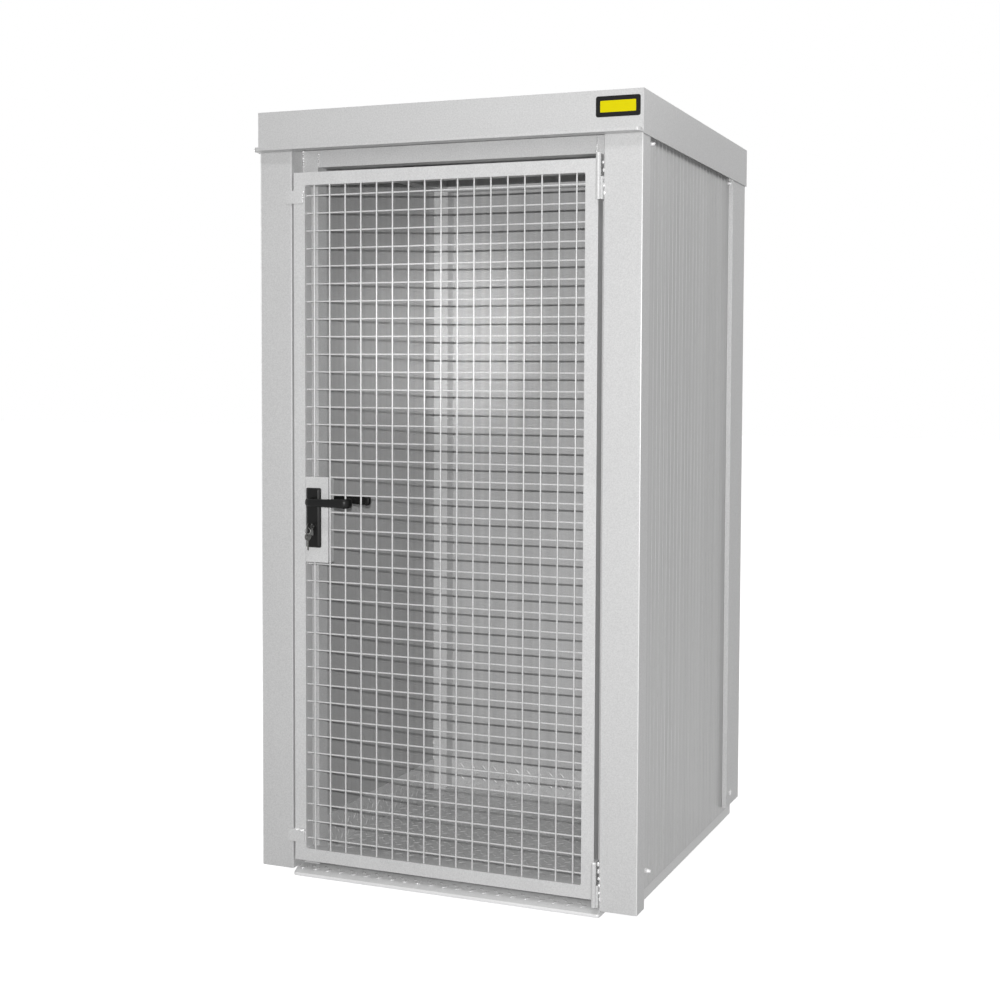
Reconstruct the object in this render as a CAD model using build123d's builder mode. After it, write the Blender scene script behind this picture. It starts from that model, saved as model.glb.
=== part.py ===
from build123d import *
import os

# Gas cylinder container: a steel cabinet with one mesh door, a chequered floor and a sloping roof.
# Millimetres. X to the right seen from the front, Y to the rear, Z up.
# The origin is on the ground under the middle of the footprint.

# Body
body_width = 1142.0
body_depth = 1087.0
body_height = 2195.0
post_lift = 20.0
sheet = 2.0
bend_radius = 3.0

# Folded corner posts
left_post_face = 101.0
right_post_face = 106.0
front_post_return = 66.0
rear_post_face = 104.0
rear_post_return = 152.0
rear_post_lift = 73.0
post_flange = 24.0

# Inner frame
roof_above_frame = 89.0
tube_size = 50.0
tube_wall = 3.0
top_rail_height = 40.0
header_height = 64.0

# Double-skinned wall panels, with fine upright lines pressed in the outer skin
wall_setback = 14.0
wall_lift = 58.0
wall_sheet = 1.5
side_wall_thickness = 86.0
rear_wall_thickness = 60.0
line_pitch = 34.7
line_width = 6.0
line_depth = 1.5
first_line = 86.0
base_rail_setback = 7.5

# Floor
floor_height = 20.0
floor_sheet = 3.0
kick_height = 104.0
bearer_width = 40.0
bearer_inset = 30.0
sill_bend = 8.0
sill_corner = 16.0

# Roof
roof_side_overhang = 4.0
roof_front_overhang = 6.0
roof_rear_overhang = 4.0
roof_drop = 24.0
side_fascia_height = 115.0
front_fascia_height = 112.0
lip_reach = 30.0
lip_rise = 10.0
lip_corner = 12.0
purlin_width = 40.0
purlin_count = 3
purlin_end_inset = 90.0

# Door leaf
door_gap_left = 7.0
door_gap_right = 15.0
door_bottom = 48.0
door_head_gap = 85.0
frame_width = 36.0
frame_depth = 38.0
frame_wall = 2.0
door_proud = 0.3

# Welded mesh
wire = 5.0
pitch_across = 49.3
pitch_up = 49.85
first_column = 25.5
first_row = 28.2
mesh_setback = 6.0

# Hinges
hinge_length = 120.0
hinge_radius = 7.0
hinge_forward = 8.8
hinge_side = 3.0
pin_radius = 4.5
pin_clearance = 0.05
running_gap = 0.4
leaf_thickness = 6.0
leaf_depth = 34.0
lower_hinge_drop = 17.0
upper_hinge_drop = 108.0

# Stop tabs
tab_width = 54.0
tab_height = 36.0
tab_thickness = 4.0
tab_overlap = 16.0
lower_tab_rise = 72.0
upper_tab_drop = 69.0

# Lock
handle_height = 1090.0
case_width = 60.0
case_wall = 3.0
case_height = 244.0
case_drop = 179.0
plate_width = 47.0
plate_height = 170.0
plate_thickness = 8.0
plate_inset = 4.0
plate_corner = 3.0
plate_drop = 132.0
plug_drop = 72.0
neck_radius = 10.0
neck_length = 44.0
grip_length = 130.0
grip_return = 26.0
spindle_size = 8.0
spindle_hole = 6.5
cylinder_radius = 8.5
cylinder_web = 10.0
cylinder_depth = 33.0
cylinder_proud = 5.0
plug_radius = 6.5
key_thickness = 2.4
key_slot_clearance = 0.1
key_blade_width = 8.0
key_blade_length = 24.0
key_bow_radius = 13.0
key_bow_stand = 10.0
key_hole_radius = 3.5
fit_clearance = 0.15

# Places worked out from the sizes above
front = -body_depth / 2
rear = body_depth / 2
side = body_width / 2
opening_left = -side + left_post_face
opening_right = side - right_post_face
wall_face = side - wall_setback
wall_inner = wall_face - side_wall_thickness
rear_wall_face = rear - wall_setback
rear_wall_inner = rear_wall_face - rear_wall_thickness
wall_front = front + front_post_return
frame_top = body_height - roof_above_frame
front_fascia_bottom = body_height - front_fascia_height
door_left = opening_left + door_gap_left
door_right = opening_right - door_gap_right
door_top = frame_top - door_head_gap
door_face = front - door_proud
door_back = door_face + frame_depth
mesh_left = door_left + frame_width
mesh_right = door_right - frame_width
mesh_bottom = door_bottom + frame_width
mesh_top = door_top - frame_width
mesh_front = door_face + mesh_setback
hinge_x = door_right + hinge_side
hinge_y = front - hinge_forward
lower_hinge_bottom = door_bottom - lower_hinge_drop
upper_hinge_bottom = door_top - upper_hinge_drop
case_left = mesh_left
case_bottom = handle_height - case_drop
plate_left = case_left + plate_inset
plate_bottom = handle_height - plate_drop
spindle_x = plate_left + plate_width / 2
plug_height = handle_height - plug_drop

os.makedirs("parts", exist_ok=True)


def save(solid, name):
    """Label a finished piece and write it as its own STEP file."""
    solid.label = name
    export_step(solid, f"parts/{name}.step")


def block(x0, x1, y0, y1, z0, z1):
    """A box between two corners, added to the open part."""
    with Locations(((x0 + x1) / 2, (y0 + y1) / 2, (z0 + z1) / 2)):
        Box(x1 - x0, y1 - y0, z1 - z0)


def tube_ring(x0, x1, y0, y1, wall):
    """The section of a rectangular tube, drawn in the open sketch."""
    with Locations(((x0 + x1) / 2, (y0 + y1) / 2)):
        Rectangle(x1 - x0, y1 - y0)
        Rectangle(x1 - x0 - 2 * wall, y1 - y0 - 2 * wall, mode=Mode.SUBTRACT)


# Front corner posts, folded from sheet: an inner return, the face, a side return and a flange
def front_post(name, inner, outer, sign):
    with BuildPart() as post:
        with BuildSketch(Plane.XY.offset(post_lift)):
            with BuildLine() as path:
                Polyline(
                    (inner, wall_front),
                    (inner, front),
                    (outer, front),
                    (outer, wall_front),
                    (outer - sign * post_flange, wall_front),
                )
                fillet(path.vertices().filter_by_position(Axis.Y, front - 1, front + 1), bend_radius)
                offset(amount=sheet, side=Side.RIGHT if sign < 0 else Side.LEFT)
            make_face()
        extrude(amount=frame_top - post_lift)
    save(post.part, name)


front_post("front_left_post", opening_left, -side, -1)
front_post("front_right_post", opening_right, side, 1)


# Rear corner posts, folded round the outside of the rear corners
def rear_post(name, outer, inner, sign):
    with BuildPart() as post:
        with BuildSketch(Plane.XY.offset(rear_post_lift)):
            with BuildLine() as path:
                Polyline(
                    (outer - sign * wall_setback, rear - rear_post_return),
                    (outer, rear - rear_post_return),
                    (outer, rear),
                    (inner, rear),
                    (inner, rear_wall_face),
                )
                fillet(path.vertices().filter_by_position(Axis.Y, rear - 1, rear + 1), bend_radius)
                offset(amount=sheet, side=Side.RIGHT if sign < 0 else Side.LEFT)
            make_face()
        extrude(amount=frame_top - rear_post_lift)
    save(post.part, name)


rear_post("rear_left_post", -side, -side + rear_post_face, -1)
rear_post("rear_right_post", side, side - rear_post_face, 1)


# Square tube uprights of the inner frame, standing on the floor against the walls
upright_x = wall_inner - tube_size
upright_front = wall_front + tube_size
upright_rear = rear_wall_inner - tube_size


def upright(name, x0, y0):
    with BuildPart() as tube:
        with BuildSketch(Plane.XY.offset(floor_height)):
            tube_ring(x0, x0 + tube_size, y0, y0 + tube_size, tube_wall)
        extrude(amount=frame_top - floor_height)
    save(tube.part, name)


upright("front_left_upright", -wall_inner, wall_front)
upright("front_right_upright", upright_x, wall_front)
upright("rear_left_upright", -wall_inner, upright_rear)
upright("rear_right_upright", upright_x, upright_rear)


# Rails: tubes between the uprights at the top, and wider ones that carry the walls at the base
def side_rail(name, x0, x1, y0, y1, z0, z1):
    with BuildPart() as rail:
        with BuildSketch(Plane.XZ.offset(-y0)):
            tube_ring(x0, x1, z0, z1, tube_wall)
        extrude(amount=-(y1 - y0))
    save(rail.part, name)


def cross_rail(name, x0, x1, y0, y1, z0, height):
    with BuildPart() as rail:
        with BuildSketch(Plane.YZ.offset(x0)):
            tube_ring(y0, y1, z0, z0 + height, tube_wall)
        extrude(amount=x1 - x0)
    save(rail.part, name)


base_outer = wall_face - base_rail_setback
base_rear = rear_wall_face - base_rail_setback
side_rail("base_left_rail", -base_outer, -wall_inner, wall_front, base_rear, floor_height, wall_lift)
side_rail("base_right_rail", wall_inner, base_outer, wall_front, base_rear, floor_height, wall_lift)
cross_rail("base_rear_rail", -wall_inner, wall_inner, rear_wall_inner, base_rear,
           floor_height, wall_lift - floor_height)
top_rail_bottom = frame_top - top_rail_height
side_rail("top_left_rail", -wall_inner, -upright_x, upright_front, upright_rear, top_rail_bottom, frame_top)
side_rail("top_right_rail", upright_x, wall_inner, upright_front, upright_rear, top_rail_bottom, frame_top)
cross_rail("top_rear_rail", -upright_x, upright_x, upright_rear, rear_wall_inner,
           top_rail_bottom, top_rail_height)
cross_rail("door_header", -upright_x, upright_x, wall_front, upright_front,
           frame_top - header_height, header_height)


# Wall panels: an outer skin with pressed lines and a flat inner skin, folded together at the ends
def line_path(length, depth):
    """Points along the outer skin: how far along it, and how deep."""
    count = int((length - first_line - line_width) // line_pitch) + 1
    points = []
    for i in range(count):
        middle = first_line + i * line_pitch
        points.append((middle - line_width / 2, depth))
        points.append((middle, depth + line_depth))
        points.append((middle + line_width / 2, depth))
    return points


def wall_panel(name, length, thickness, place):
    outer = [(0, 0), *line_path(length, 0), (length, 0), (length, thickness), (0, thickness)]
    inner = [(wall_sheet, wall_sheet), *line_path(length, wall_sheet), (length - wall_sheet, wall_sheet),
             (length - wall_sheet, thickness - wall_sheet), (wall_sheet, thickness - wall_sheet)]
    with BuildPart() as wall:
        with BuildSketch(Plane.XY.offset(wall_lift)):
            with BuildLine():
                Polyline(*[place(*point) for point in outer], close=True)
            make_face()
            with BuildLine():
                Polyline(*[place(*point) for point in inner], close=True)
            make_face(mode=Mode.SUBTRACT)
        extrude(amount=frame_top - wall_lift)
    save(wall.part, name)


side_wall_length = rear_wall_face - wall_front
wall_panel("left_wall", side_wall_length, side_wall_thickness, lambda a, d: (-wall_face + d, wall_front + a))
wall_panel("right_wall", side_wall_length, side_wall_thickness, lambda a, d: (wall_face - d, wall_front + a))
wall_panel("rear_wall", 2 * wall_inner, rear_wall_thickness, lambda a, d: (-wall_inner + a, rear_wall_face - d))

# Floor: a chequered plate with kick plates on three sides, on three bearers, and a folded sill
with BuildPart() as floor_plate:
    block(-wall_inner, wall_inner, wall_front, rear_wall_inner, floor_height - floor_sheet, floor_height)
save(floor_plate.part, "floor_plate")

kick_top = floor_height + kick_height
with BuildPart() as left_kick_plate:
    block(-wall_inner, -wall_inner + floor_sheet, upright_front, upright_rear, floor_height, kick_top)
save(left_kick_plate.part, "left_kick_plate")

with BuildPart() as right_kick_plate:
    block(wall_inner - floor_sheet, wall_inner, upright_front, upright_rear, floor_height, kick_top)
save(right_kick_plate.part, "right_kick_plate")

with BuildPart() as rear_kick_plate:
    block(-upright_x, upright_x, rear_wall_inner - floor_sheet, rear_wall_inner, floor_height, kick_top)
save(rear_kick_plate.part, "rear_kick_plate")

bearer_top = floor_height - floor_sheet
bearer_side = wall_inner - bearer_inset
bearer_length = rear_wall_inner - wall_front
with BuildPart() as floor_bearers:
    with Locations((0, wall_front + bearer_length / 2, bearer_top / 2)):
        with GridLocations(bearer_side, 0, 3, 1):
            Box(bearer_width, bearer_length, bearer_top)
save(floor_bearers.part, "floor_bearers")

with BuildPart() as door_sill:
    with BuildSketch(Plane.YZ.offset(opening_left)):
        with BuildLine():
            FilletPolyline((front, 0), (front, floor_height), (wall_front, floor_height), radius=sill_bend)
            offset(amount=floor_sheet, side=Side.RIGHT)
        make_face()
    extrude(amount=opening_right - opening_left)
    lip_edges = door_sill.edges().filter_by(Axis.Y).group_by(Axis.Z)[0]
    fillet(lip_edges, sill_corner)
save(door_sill.part, "door_sill")

# Roof: a sloping sheet, a deep fascia all round, a drip lip along the front and purlins beneath
roof_front = front - roof_front_overhang
roof_rear = rear + roof_rear_overhang
roof_side = side + roof_side_overhang
roof_run = roof_rear - roof_front


def roof_height(y):
    return body_height - roof_drop * (y - roof_front) / roof_run


def slope_sheet(x0, x1, y0, y1, top_drop, bottom_drop):
    """A solid between two planes parallel to the roof, added to the open part."""
    with BuildSketch(Plane.YZ.offset(x0)) as section:
        with BuildLine():
            Polyline(
                (y0, roof_height(y0) - top_drop),
                (y1, roof_height(y1) - top_drop),
                (y1, roof_height(y1) - bottom_drop),
                (y0, roof_height(y0) - bottom_drop),
                close=True,
            )
        make_face()
    extrude(section.sketch, amount=x1 - x0)


with BuildPart() as roof_sheet:
    slope_sheet(-roof_side, roof_side, roof_front, roof_rear, 0, sheet)
save(roof_sheet.part, "roof_sheet")

with BuildPart() as front_fascia:
    with BuildSketch(Plane.YZ.offset(-roof_side)):
        with BuildLine():
            Polyline(
                (roof_front, roof_height(roof_front + sheet) - sheet),
                (roof_front, front_fascia_bottom),
                (roof_front - lip_reach, front_fascia_bottom + lip_rise),
            )
            offset(amount=sheet, side=Side.LEFT)
        make_face()
    extrude(amount=2 * roof_side)
    lip_ends = front_fascia.edges().filter_by(lambda e: abs(e.length - sheet) < 0.01)
    fillet(lip_ends.group_by(Axis.Y)[0], lip_corner)
save(front_fascia.part, "front_fascia")

for fascia_name, fascia_x, inward in (("left", -roof_side, 1), ("right", roof_side, -1)):
    with BuildPart() as side_fascia:
        inner_x = fascia_x + inward * sheet
        slope_sheet(min(fascia_x, inner_x), max(fascia_x, inner_x), roof_front + sheet, roof_rear - sheet,
                    sheet, side_fascia_height)
        flange_x = fascia_x + inward * roof_side_overhang
        slope_sheet(min(fascia_x, flange_x), max(fascia_x, flange_x), roof_front + sheet, roof_rear - sheet,
                    side_fascia_height - sheet, side_fascia_height)
    save(side_fascia.part, f"{fascia_name}_fascia")

with BuildPart() as rear_fascia:
    slope_sheet(-roof_side, roof_side, roof_rear - sheet, roof_rear, sheet, side_fascia_height)
save(rear_fascia.part, "rear_fascia")

purlin_first = wall_front + purlin_end_inset
purlin_last = rear_wall_face - purlin_end_inset
purlin_step = (purlin_last - purlin_first) / (purlin_count - 1)
with BuildPart() as roof_purlins:
    for i in range(purlin_count):
        y0 = purlin_first + i * purlin_step - purlin_width / 2
        y1 = y0 + purlin_width
        with BuildSketch(Plane.YZ.offset(-base_outer)):
            with BuildLine():
                Polyline(
                    (y0, frame_top),
                    (y0, roof_height(y0) - sheet),
                    (y1, roof_height(y1) - sheet),
                    (y1, frame_top),
                    (y1 - sheet, frame_top),
                    (y1 - sheet, roof_height(y1 - sheet) - 2 * sheet),
                    (y0 + sheet, roof_height(y0 + sheet) - 2 * sheet),
                    (y0 + sheet, frame_top),
                    close=True,
                )
            make_face()
        extrude(amount=2 * base_outer)
save(roof_purlins.part, "roof_purlins")


# Door leaf: four tubes, the welded mesh in two halves, and the plates and lock that it carries
def door_stile(name, x0):
    with BuildPart() as stile:
        with BuildSketch(Plane.XY.offset(door_bottom)):
            tube_ring(x0, x0 + frame_width, door_face, door_back, frame_wall)
        extrude(amount=door_top - door_bottom)
    save(stile.part, name)


door_stile("door_left_stile", door_left)
door_stile("door_right_stile", door_right - frame_width)
cross_rail("door_top_rail", mesh_left, mesh_right, door_face, door_back, mesh_top, frame_width)
cross_rail("door_bottom_rail", mesh_left, mesh_right, door_face, door_back, door_bottom, frame_width)

case_right = case_left + case_width
case_top = case_bottom + case_height


columns_wide = int((mesh_right - mesh_left - first_column - wire) // pitch_across) + 1
rows_high = int((mesh_top - mesh_bottom - first_row - wire) // pitch_up) + 1
wire_columns = [mesh_left + first_column + i * pitch_across for i in range(columns_wide)]
wire_rows = [mesh_bottom + first_row + i * pitch_up for i in range(rows_high)]
mesh_split = mesh_bottom + first_row + (rows_high // 2 - 0.5) * pitch_up


def mesh_panel(name, z0, z1, heights):
    """Upright bars in front, level bars behind them and touching them where they cross."""
    with BuildPart() as upright_bars:
        for x in wire_columns:
            beside_case = x - wire / 2 < case_right
            ends = [(z0, min(z1, case_bottom)), (max(z0, case_top), z1)] if beside_case else [(z0, z1)]
            for low, high in ends:
                if high > low:
                    block(x - wire / 2, x + wire / 2, mesh_front, mesh_front + wire, low, high)
    with BuildPart() as level_bars:
        for z in heights:
            beside_case = case_bottom < z + wire / 2 and z - wire / 2 < case_top
            start = case_right if beside_case else mesh_left
            block(start, mesh_right, mesh_front + wire, mesh_front + 2 * wire, z - wire / 2, z + wire / 2)
    save(Compound(upright_bars.part.solids() + level_bars.part.solids()), name)


mesh_panel("lower_mesh", mesh_bottom, mesh_split, [z for z in wire_rows if z < mesh_split])
mesh_panel("upper_mesh", mesh_split, mesh_top, [z for z in wire_rows if z > mesh_split])

# Stop tabs welded to the left stile, closing against the face of the left post
with BuildPart() as stop_tabs:
    tab_x = opening_left - tab_overlap
    for tab_z in (door_bottom + lower_tab_rise, door_top - upper_tab_drop):
        block(tab_x, tab_x + tab_width, door_face - tab_thickness, door_face,
              tab_z - tab_height / 2, tab_z + tab_height / 2)
save(stop_tabs.part, "stop_tabs")

# Hinges: a knuckle with its pin on the post, and a knuckle that turns on the pin on the door
half_hinge = hinge_length / 2
with BuildPart() as post_hinges:
    for bottom in (lower_hinge_bottom, upper_hinge_bottom):
        top = bottom + half_hinge - running_gap
        with Locations((hinge_x, hinge_y, (bottom + top) / 2)):
            Cylinder(hinge_radius, top - bottom)
        with Locations((hinge_x, hinge_y, top + half_hinge / 2)):
            Cylinder(pin_radius, half_hinge)
        block(opening_right - leaf_thickness, opening_right, hinge_y, hinge_y + leaf_depth, bottom, top)
save(post_hinges.part, "post_hinges")

with BuildPart() as door_hinges:
    for bottom in (lower_hinge_bottom, upper_hinge_bottom):
        middle = bottom + half_hinge
        with Locations((hinge_x, hinge_y, middle + half_hinge / 2)):
            Cylinder(hinge_radius, half_hinge)
        block(door_right, door_right + leaf_thickness, hinge_y, hinge_y + leaf_depth,
              middle, middle + half_hinge)
        with Locations((hinge_x, hinge_y, middle + half_hinge / 2)):
            Cylinder(pin_radius + pin_clearance, half_hinge, mode=Mode.SUBTRACT)
save(door_hinges.part, "door_hinges")

# Lock case beside the left stile, bored through for the handle's neck and the lock cylinder
plate_front = door_face - plate_thickness
plate_back = door_back + plate_thickness
neck_bore = neck_radius + pin_clearance


def cylinder_profile(grow):
    """The keyhole-shaped section of the lock cylinder, drawn in the open sketch."""
    with Locations((spindle_x, plug_height)):
        Circle(cylinder_radius + grow)
    web_top = plug_height
    web_bottom = plug_height + cylinder_radius - cylinder_depth - grow
    with Locations((spindle_x, (web_top + web_bottom) / 2)):
        Rectangle(cylinder_web + 2 * grow, web_top - web_bottom)


def lock_bores(near, far, bore):
    """Cuts for the spindle and the cylinder, taken out of the open part between two depths."""
    with BuildSketch(Plane.XZ.offset(-near)) as bores:
        with Locations((spindle_x, handle_height)):
            Circle(bore)
        cylinder_profile(fit_clearance)
    extrude(bores.sketch, amount=-(far - near), mode=Mode.SUBTRACT)


with BuildPart() as lock_case:
    block(case_left, case_right, door_face, door_back, case_bottom, case_top)
    with Locations(((case_left + case_right) / 2, (door_face + door_back) / 2, (case_bottom + case_top) / 2)):
        Box(case_width - 2 * case_wall, frame_depth - 2 * case_wall, case_height - 2 * case_wall,
            mode=Mode.SUBTRACT)
    lock_bores(door_face, door_back, spindle_hole)
save(lock_case.part, "lock_case")

with BuildPart() as handle_plates:
    for near, far in ((plate_front, door_face), (door_back, plate_back)):
        block(plate_left, plate_left + plate_width, near, far, plate_bottom, plate_bottom + plate_height)
    fillet(handle_plates.edges().filter_by(Axis.Y), plate_corner)
    lock_bores(plate_front, plate_back, neck_bore)
save(handle_plates.part, "handle_plates")

cylinder_near = plate_front - cylinder_proud
cylinder_far = plate_back + cylinder_proud
plug_bore = plug_radius + pin_clearance
plug_length = (cylinder_far - cylinder_near) / 2
with BuildPart() as lock_cylinder:
    with BuildSketch(Plane.XZ.offset(-cylinder_near)):
        cylinder_profile(0)
    extrude(amount=-(cylinder_far - cylinder_near))
    with BuildSketch(Plane.XZ.offset(-cylinder_near)):
        with Locations((spindle_x, plug_height)):
            Circle(plug_bore)
    extrude(amount=-plug_length, mode=Mode.SUBTRACT)
save(lock_cylinder.part, "lock_cylinder")

# The turning plug and the key that stands in it
slot_width = key_thickness + 2 * key_slot_clearance
slot_height = key_blade_width + 2 * key_slot_clearance
with BuildPart() as lock_plug:
    with BuildSketch(Plane.XZ.offset(-cylinder_near)):
        with Locations((spindle_x, plug_height)):
            Circle(plug_radius)
    extrude(amount=-(plug_length - running_gap))
    with BuildSketch(Plane.XZ.offset(-cylinder_near)):
        with Locations((spindle_x, plug_height)):
            Rectangle(slot_width, slot_height)
    extrude(amount=-key_blade_length, mode=Mode.SUBTRACT)
save(lock_plug.part, "lock_plug")

bow_y = cylinder_near - key_bow_stand - key_bow_radius
with BuildPart() as key:
    with BuildSketch(Plane.YZ.offset(spindle_x - key_thickness / 2)):
        with Locations((bow_y, plug_height)):
            Circle(key_bow_radius)
        with Locations(((bow_y + cylinder_near + key_blade_length) / 2, plug_height)):
            Rectangle(cylinder_near + key_blade_length - bow_y, key_blade_width)
        with Locations((bow_y - key_bow_radius / 3, plug_height)):
            Circle(key_hole_radius, mode=Mode.SUBTRACT)
    extrude(amount=key_thickness)
save(key.part, "key")


# Lever handles, one on each side of the door, joined by the spindle
def grip_path_points(start, direction):
    """Out from the plate, across to the right, and back towards the door."""
    grip_y = start + direction * neck_length
    end_x = spindle_x + grip_length
    return [
        (spindle_x, start, handle_height),
        (spindle_x, grip_y, handle_height),
        (end_x, grip_y, handle_height),
        (end_x, grip_y - direction * grip_return, handle_height),
    ]


outer_neck = door_face - running_gap
inner_neck = door_back + running_gap
with BuildPart() as outer_lever:
    with BuildLine() as outer_path:
        Polyline(*grip_path_points(outer_neck, -1))
    with BuildSketch(Plane(origin=(spindle_x, outer_neck, handle_height), z_dir=(0, -1, 0))):
        Circle(neck_radius)
    sweep(path=outer_path.line, transition=Transition.RIGHT)
    block(spindle_x - spindle_size / 2, spindle_x + spindle_size / 2, outer_neck, inner_neck,
          handle_height - spindle_size / 2, handle_height + spindle_size / 2)
save(outer_lever.part, "outer_lever")

with BuildPart() as inner_lever:
    with BuildLine() as inner_path:
        Polyline(*grip_path_points(inner_neck, 1))
    with BuildSketch(Plane(origin=(spindle_x, inner_neck, handle_height), z_dir=(0, 1, 0))):
        Circle(neck_radius)
    sweep(path=inner_path.line, transition=Transition.RIGHT)
save(inner_lever.part, "inner_lever")
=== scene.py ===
import math
import bmesh
import bpy
import numpy as np
from mathutils import Matrix, Vector


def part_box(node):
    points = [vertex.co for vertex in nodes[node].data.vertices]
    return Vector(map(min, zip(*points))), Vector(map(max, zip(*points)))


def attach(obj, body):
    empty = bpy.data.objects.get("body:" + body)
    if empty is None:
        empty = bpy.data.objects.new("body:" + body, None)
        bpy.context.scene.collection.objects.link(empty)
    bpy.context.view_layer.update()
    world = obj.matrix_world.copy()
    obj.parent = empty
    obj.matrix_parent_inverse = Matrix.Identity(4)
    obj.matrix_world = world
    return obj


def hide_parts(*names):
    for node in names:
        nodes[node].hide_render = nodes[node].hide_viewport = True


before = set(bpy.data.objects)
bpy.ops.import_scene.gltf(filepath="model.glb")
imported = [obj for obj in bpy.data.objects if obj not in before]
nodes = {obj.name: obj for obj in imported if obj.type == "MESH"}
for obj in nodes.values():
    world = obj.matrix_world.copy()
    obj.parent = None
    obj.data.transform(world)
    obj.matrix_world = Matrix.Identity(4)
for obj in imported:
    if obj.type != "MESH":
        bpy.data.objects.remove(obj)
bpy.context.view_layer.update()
mmPerMetre = 1000.0


# lengths below are millimetres in the row frame, and become metres when a piece is made
def nodeBox(name):
    low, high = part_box(name)
    return np.array(low) * mmPerMetre, np.array(high) * mmPerMetre


# materials: a shared grain group, then one material for each finish
grainNoise = {"fineDetail": 3.0, "fineRoughness": 0.7, "streakDetail": 4.0, "bumpDistance": 0.0008}


def linkValue(tree, operation, first, second):
    # one maths node, whose two inputs are plain values or other nodes' outputs
    node = tree.nodes.new("ShaderNodeMath")
    node.operation = operation
    for socket, value in zip(node.inputs, (first, second)):
        if isinstance(value, (int, float)):
            socket.default_value = value
        else:
            tree.links.new(value, socket)
    return node.outputs[0]


def makeGrainGroup():
    # colour = tone x (1 + grain spread x (fine noise - 0.5) + streak spread x (streaked noise - 0.5)),
    # and roughness = its level + its spread x (streaked noise - 0.5)
    group = bpy.data.node_groups.new("metalGrain", "ShaderNodeTree")
    for name, kind in (("Position", "NodeSocketVector"), ("Tone", "NodeSocketColor"),
                       ("Grain Size", "NodeSocketFloat"), ("Grain Spread", "NodeSocketFloat"),
                       ("Streak Scale", "NodeSocketVector"), ("Streak Spread", "NodeSocketFloat"),
                       ("Roughness Level", "NodeSocketFloat"), ("Roughness Spread", "NodeSocketFloat")):
        group.interface.new_socket(name, in_out="INPUT", socket_type=kind)
    for name, kind in (("Color", "NodeSocketColor"), ("Roughness", "NodeSocketFloat"),
                       ("Height", "NodeSocketFloat")):
        group.interface.new_socket(name, in_out="OUTPUT", socket_type=kind)
    start = group.nodes.new("NodeGroupInput")
    end = group.nodes.new("NodeGroupOutput")
    fine = group.nodes.new("ShaderNodeTexNoise")
    fine.inputs["Detail"].default_value = grainNoise["fineDetail"]
    fine.inputs["Roughness"].default_value = grainNoise["fineRoughness"]
    group.links.new(start.outputs["Position"], fine.inputs["Vector"])
    group.links.new(start.outputs["Grain Size"], fine.inputs["Scale"])
    stretch = group.nodes.new("ShaderNodeVectorMath")
    stretch.operation = "MULTIPLY"
    group.links.new(start.outputs["Position"], stretch.inputs[0])
    group.links.new(start.outputs["Streak Scale"], stretch.inputs[1])
    streak = group.nodes.new("ShaderNodeTexNoise")
    streak.inputs["Scale"].default_value = 1.0
    streak.inputs["Detail"].default_value = grainNoise["streakDetail"]
    group.links.new(stretch.outputs[0], streak.inputs["Vector"])
    fineShift = linkValue(group, "SUBTRACT", fine.outputs[0], 0.5)
    streakShift = linkValue(group, "SUBTRACT", streak.outputs[0], 0.5)
    factor = linkValue(group, "ADD",
                       linkValue(group, "MULTIPLY", fineShift, start.outputs["Grain Spread"]),
                       linkValue(group, "MULTIPLY", streakShift, start.outputs["Streak Spread"]))
    factor = linkValue(group, "ADD", factor, 1.0)
    tone = group.nodes.new("ShaderNodeVectorMath")
    tone.operation = "SCALE"
    group.links.new(start.outputs["Tone"], tone.inputs[0])
    group.links.new(factor, tone.inputs["Scale"])
    group.links.new(tone.outputs[0], end.inputs["Color"])
    rough = linkValue(group, "ADD", start.outputs["Roughness Level"],
                      linkValue(group, "MULTIPLY", streakShift, start.outputs["Roughness Spread"]))
    group.links.new(rough, end.inputs["Roughness"])
    group.links.new(fine.outputs[0], end.inputs["Height"])
    return group


grainGroup = makeGrainGroup()

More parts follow.
